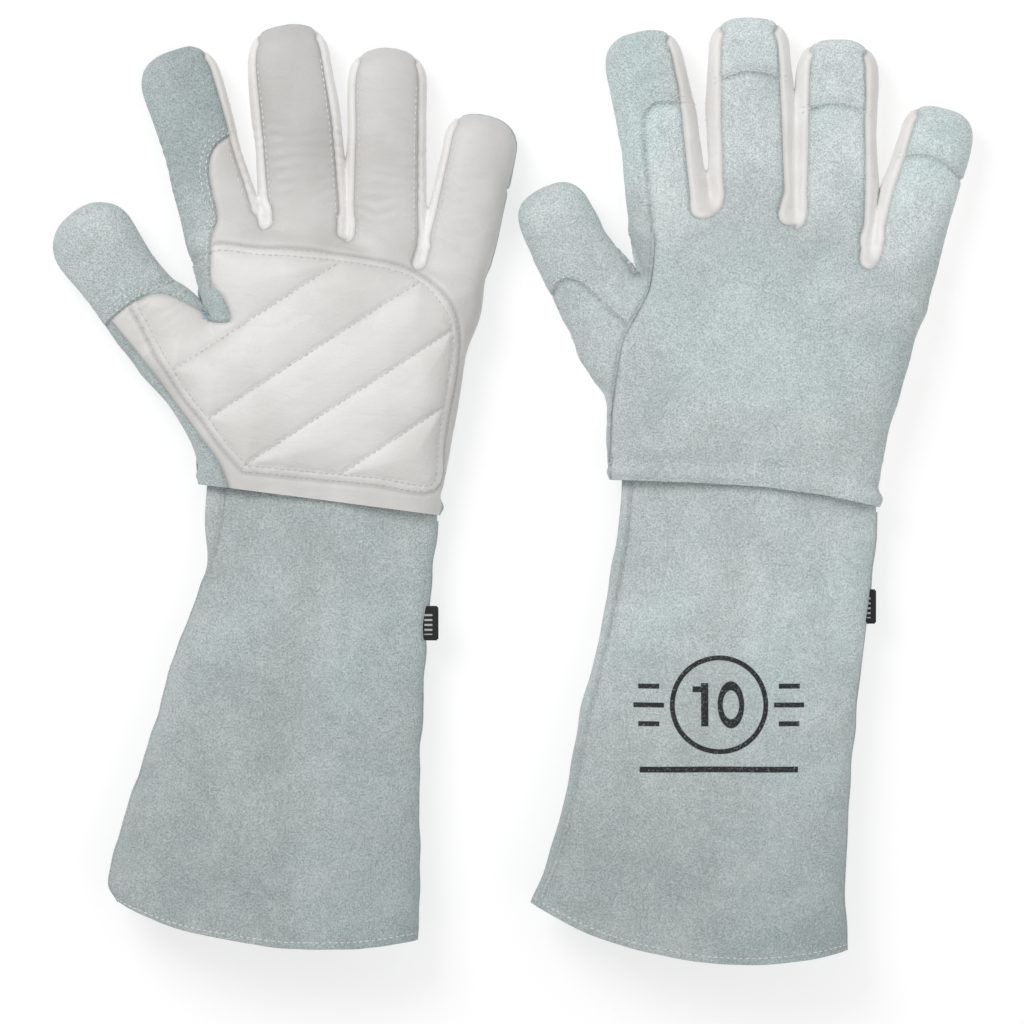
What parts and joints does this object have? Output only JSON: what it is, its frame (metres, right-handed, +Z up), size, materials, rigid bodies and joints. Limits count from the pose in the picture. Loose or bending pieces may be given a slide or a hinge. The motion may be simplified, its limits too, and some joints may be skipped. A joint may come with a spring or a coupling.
{
  "type": "welding gloves",
  "caption": "Gauntlet welding gloves, left palm up and right back up, in suede and grain leather with a quilted gel palm.",
  "frame": {"origin": "middle of the pair's footprint, on the surface that the gloves lie on", "axes": "+Z up from the surface, +Y towards the fingertips, +X from the left glove to the right glove"},
  "size_m": [0.3986, 0.4052, 0.0473],
  "materials": {
    "grain_leather": "smooth grain, soft sheen",
    "split_leather": "suede nap, matt",
    "welt": "suede piping, matt",
    "gel": "soft gel",
    "lining": "foam-backed cotton",
    "label": "woven"
  },
  "bodies": {
    "left_hand": {"left_palm_patch": "grain_leather", "left_gel_pad": "gel", "left_palm_panel": "grain_leather", "left_back_panel": "split_leather", "left_finger_webs": "grain_leather", "left_hand_lining": "lining", "left_side_welt": "welt"},
    "left_index": {"left_index_cap": "split_leather", "left_index_back": "split_leather", "left_index_fourchette": "grain_leather", "left_index_front": "grain_leather"},
    "left_middle": {"left_middle_cap": "split_leather", "left_middle_back": "split_leather", "left_middle_fourchettes": "grain_leather", "left_middle_front": "grain_leather"},
    "left_ring": {"left_ring_cap": "split_leather", "left_ring_back": "split_leather", "left_ring_fourchettes": "grain_leather", "left_ring_front": "grain_leather"},
    "left_little": {"left_little_cap": "split_leather", "left_little_back": "split_leather", "left_little_fourchette": "grain_leather", "left_little_front": "grain_leather"},
    "left_thumb": {"left_thumb_back": "split_leather", "left_thumb_front": "grain_leather", "left_thumb_tip_patch": "split_leather"},
    "left_cuff": {"left_cuff_front": "split_leather", "left_cuff_back": "split_leather", "left_cuff_welts": "welt", "left_label_tab": "label"},
    "right_hand": {"right_palm_patch": "grain_leather", "right_gel_pad": "gel", "right_palm_panel": "grain_leather", "right_back_panel": "split_leather", "right_finger_webs": "grain_leather", "right_hand_lining": "lining", "right_side_welt": "welt"},
    "right_index": {"right_index_cap": "split_leather", "right_index_back": "split_leather", "right_index_fourchette": "grain_leather", "right_index_front": "grain_leather"},
    "right_middle": {"right_middle_cap": "split_leather", "right_middle_back": "split_leather", "right_middle_fourchettes": "grain_leather", "right_middle_front": "grain_leather"},
    "right_ring": {"right_ring_cap": "split_leather", "right_ring_back": "split_leather", "right_ring_fourchettes": "grain_leather", "right_ring_front": "grain_leather"},
    "right_little": {"right_little_cap": "split_leather", "right_little_back": "split_leather", "right_little_fourchette": "grain_leather", "right_little_front": "grain_leather"},
    "right_thumb": {"right_thumb_back": "split_leather", "right_thumb_front": "grain_leather", "right_thumb_tip_patch": "split_leather"},
    "right_cuff": {"right_cuff_front": "split_leather", "right_cuff_back": "split_leather", "right_cuff_welts": "welt", "right_label_tab": "label"}
  },
  "joints": [
    {"name": "right_glove_lift", "type": "slide", "parent": "left_hand", "child": "right_hand", "axis": [0, 0, 1], "range_m": [0, 0.12]},
    {"name": "left_index_bend", "type": "hinge", "parent": "left_hand", "child": "left_index", "pos_m": [-0.12686, 0.11248, 0.022], "axis": [0.9711, 0.2385, 0], "range_deg": [0, 70]},
    {"name": "left_middle_bend", "type": "hinge", "parent": "left_hand", "child": "left_middle", "pos_m": [-0.09248, 0.1116, 0.022], "axis": [0.9969, 0.0785, 0], "range_deg": [0, 70]},
    {"name": "left_ring_bend", "type": "hinge", "parent": "left_hand", "child": "left_ring", "pos_m": [-0.05774, 0.10383, 0.022], "axis": [0.9994, -0.0349, 0], "range_deg": [0, 70]},
    {"name": "left_little_bend", "type": "hinge", "parent": "left_hand", "child": "left_little", "pos_m": [-0.02544, 0.0975, 0.022], "axis": [0.9659, -0.2588, 0], "range_deg": [0, 70]},
    {"name": "left_thumb_bend", "type": "hinge", "parent": "left_hand", "child": "left_thumb", "pos_m": [-0.1454, 0.06166, 0.024], "axis": [0.766, 0.6428, 0], "range_deg": [0, 50]},
    {"name": "left_wrist_bend", "type": "hinge", "parent": "left_hand", "child": "left_cuff", "pos_m": [-0.0839, -0.00634, 0.03], "axis": [-0.9945, 0.1045, 0], "range_deg": [0, 45]},
    {"name": "right_index_bend", "type": "hinge", "parent": "right_hand", "child": "right_index", "pos_m": [0.06596, 0.11294, 0], "axis": [-0.9857, -0.1685, 0], "range_deg": [0, 70]},
    {"name": "right_middle_bend", "type": "hinge", "parent": "right_hand", "child": "right_middle", "pos_m": [0.10112, 0.11257, 0], "axis": [-0.9997, -0.0262, 0], "range_deg": [0, 70]},
    {"name": "right_ring_bend", "type": "hinge", "parent": "right_hand", "child": "right_ring", "pos_m": [0.13649, 0.10265, 0], "axis": [-0.9986, 0.0523, 0], "range_deg": [0, 70]},
    {"name": "right_little_bend", "type": "hinge", "parent": "right_hand", "child": "right_little", "pos_m": [0.16851, 0.08628, 0], "axis": [-0.9613, 0.2756, 0], "range_deg": [0, 70]},
    {"name": "right_thumb_bend", "type": "hinge", "parent": "right_hand", "child": "right_thumb", "pos_m": [0.0362, 0.07916, 0], "axis": [-0.891, -0.454, 0], "range_deg": [0, 50]},
    {"name": "right_wrist_bend", "type": "hinge", "parent": "right_hand", "child": "right_cuff", "pos_m": [0.0977, -0.00084, 0], "axis": [0.9905, -0.1374, 0], "range_deg": [0, 45]}
  ]
}
